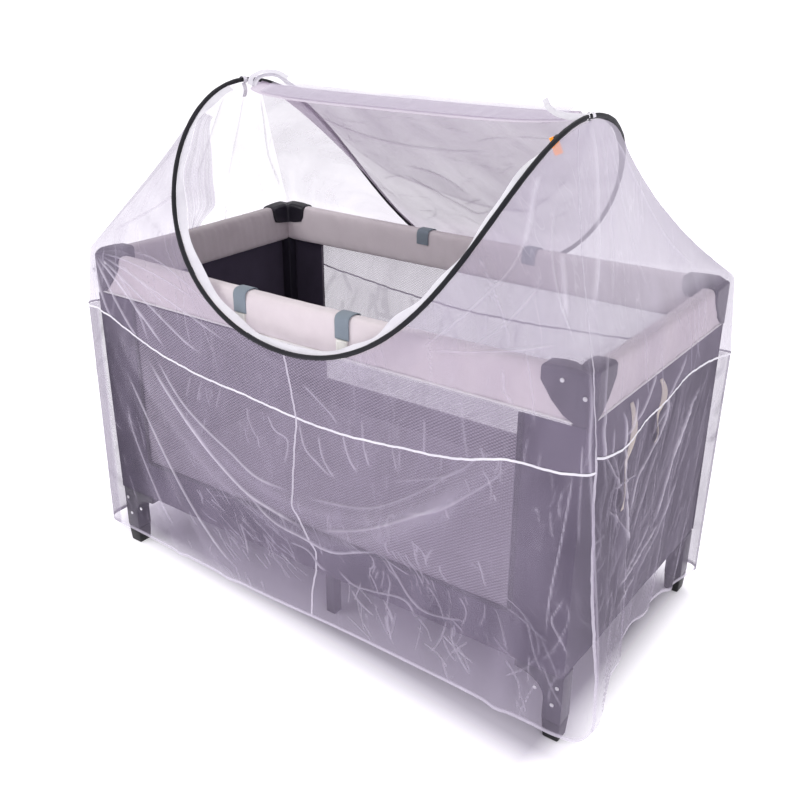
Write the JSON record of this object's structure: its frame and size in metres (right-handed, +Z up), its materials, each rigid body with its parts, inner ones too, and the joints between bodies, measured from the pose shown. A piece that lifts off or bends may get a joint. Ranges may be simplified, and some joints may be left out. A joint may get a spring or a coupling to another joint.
{
  "type": "camping bed mosquito net over a travel cot",
  "caption": "Sheer mosquito net on one sprung saddle hoop, its zip door thrown back, draped over a folding travel cot down to a seamed skirt.",
  "frame": {"origin": "middle of the footprint of the net and cot, on the floor", "axes": "+X along the cot to its right end as the picture shows it, -Y towards its front long side, +Z up"},
  "size_m": [1.3625, 0.7508, 1.1357],
  "materials": {
    "sheer_net": "sheer fine-mesh polyester net",
    "white_tape": "woven white seam tape",
    "black_binding": "dark fabric binding over spring wire",
    "orange_tab": "orange webbing tab",
    "dark_plastic": "moulded dark plastic",
    "beige_padding": "padded pale beige cloth",
    "dark_fabric": "dark woven cloth",
    "window_mesh": "open window mesh",
    "black_foot": "black moulded foot",
    "grey_webbing": "grey blue webbing",
    "ivory_clip": "moulded ivory plastic",
    "beige_webbing": "beige webbing"
  },
  "bodies": {
    "root": {"belt_back": "white_tape", "belt_front_left": "white_tape", "belt_front_right": "white_tape", "belt_left": "white_tape", "belt_right": "white_tape", "cot_base": "dark_plastic", "cot_cap_back_left": "dark_plastic", "cot_cap_back_right": "dark_plastic", "cot_cap_front_left": "dark_plastic", "cot_cap_front_right": "dark_plastic", "cot_clip_front_left": "ivory_clip", "cot_clip_front_right": "ivory_clip", "cot_end_left": "dark_fabric", "cot_end_right": "dark_fabric", "cot_foot_back_left": "black_foot", "cot_foot_back_right": "black_foot", "cot_foot_front_left": "black_foot", "cot_foot_front_right": "black_foot", "cot_leg_back_left": "dark_plastic", "cot_leg_back_right": "dark_plastic", "cot_leg_front_left": "dark_plastic", "cot_leg_front_right": "dark_plastic", "cot_loop_back": "beige_webbing", "cot_loop_front": "beige_webbing", "cot_mattress": "dark_fabric", "cot_mesh_back": "window_mesh", "cot_mesh_front": "window_mesh", "cot_rail_back": "beige_padding", "cot_rail_front": "beige_padding", "cot_rail_left": "beige_padding", "cot_rail_right": "beige_padding", "cot_strap_back_left": "grey_webbing", "cot_strap_back_right": "grey_webbing", "cot_strap_front_left": "grey_webbing", "cot_strap_front_right": "grey_webbing", "cot_wall_back": "dark_fabric", "cot_wall_front": "dark_fabric", "net_door": "sheer_net", "net_door_gather": "sheer_net", "net_hoop": "black_binding", "net_roof": "sheer_net", "net_skirt_back": "sheer_net", "net_skirt_front_left": "sheer_net", "net_skirt_front_right": "sheer_net", "net_skirt_left": "sheer_net", "net_skirt_right": "sheer_net", "net_upper_back": "sheer_net", "net_upper_front_left": "sheer_net", "net_upper_front_right": "sheer_net", "net_upper_left": "sheer_net", "net_upper_right": "sheer_net", "net_zip_puller": "orange_tab", "net_zip_slider": "dark_plastic", "net_zip_tape": "white_tape", "seam_centre": "white_tape", "seam_corner": "white_tape", "tie_left": "white_tape", "tie_right": "white_tape"}
  },
  "joints": []
}
